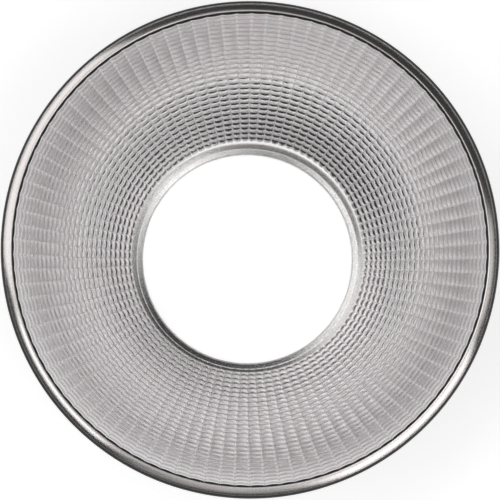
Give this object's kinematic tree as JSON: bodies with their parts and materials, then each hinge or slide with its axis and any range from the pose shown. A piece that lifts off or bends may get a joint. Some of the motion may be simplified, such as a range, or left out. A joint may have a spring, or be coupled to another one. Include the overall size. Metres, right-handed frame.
{
  "type": "studio light reflector",
  "caption": "Round open-face reflector for a studio light: facet-embossed bright dish with a rolled rim, smooth neck and through bore, on a cast bayonet mount with hooked lugs.",
  "frame": {"origin": "on the optical axis, in the plane of the lug feet that the part stands on", "axes": "+Z along the optical axis from the bayonet mount to the mouth; +Y towards the first lug; +X completes the right-handed frame"},
  "size_m": [0.218, 0.2178, 0.0895],
  "materials": {
    "faceted_aluminium": "bright anodised sheet, embossed inside with pillow facets in radial columns",
    "rolled_rim": "polished rolled bead, slightly darker than the dish",
    "cast_mount": "die-cast, fine blasted grain",
    "plated_steel": "stamped steel, zinc plated",
    "fixings": "plated screws and rivets"
  },
  "bodies": {
    "root": {"reflector_dish": "faceted_aluminium", "rim_hoop": "rolled_rim", "mount_casting": "cast_mount", "bayonet_plate": "plated_steel", "bayonet_lug_1": "plated_steel", "bayonet_lug_2": "plated_steel", "bayonet_lug_3": "plated_steel", "lug_rivet_1a": "fixings", "lug_rivet_1b": "fixings", "lug_rivet_2a": "fixings", "lug_rivet_2b": "fixings", "lug_rivet_3a": "fixings", "lug_rivet_3b": "fixings", "plate_screw_1": "fixings", "plate_screw_2": "fixings", "plate_screw_3": "fixings", "clamp_screw_1": "fixings", "clamp_screw_2": "fixings", "clamp_screw_3": "fixings"}
  },
  "joints": []
}
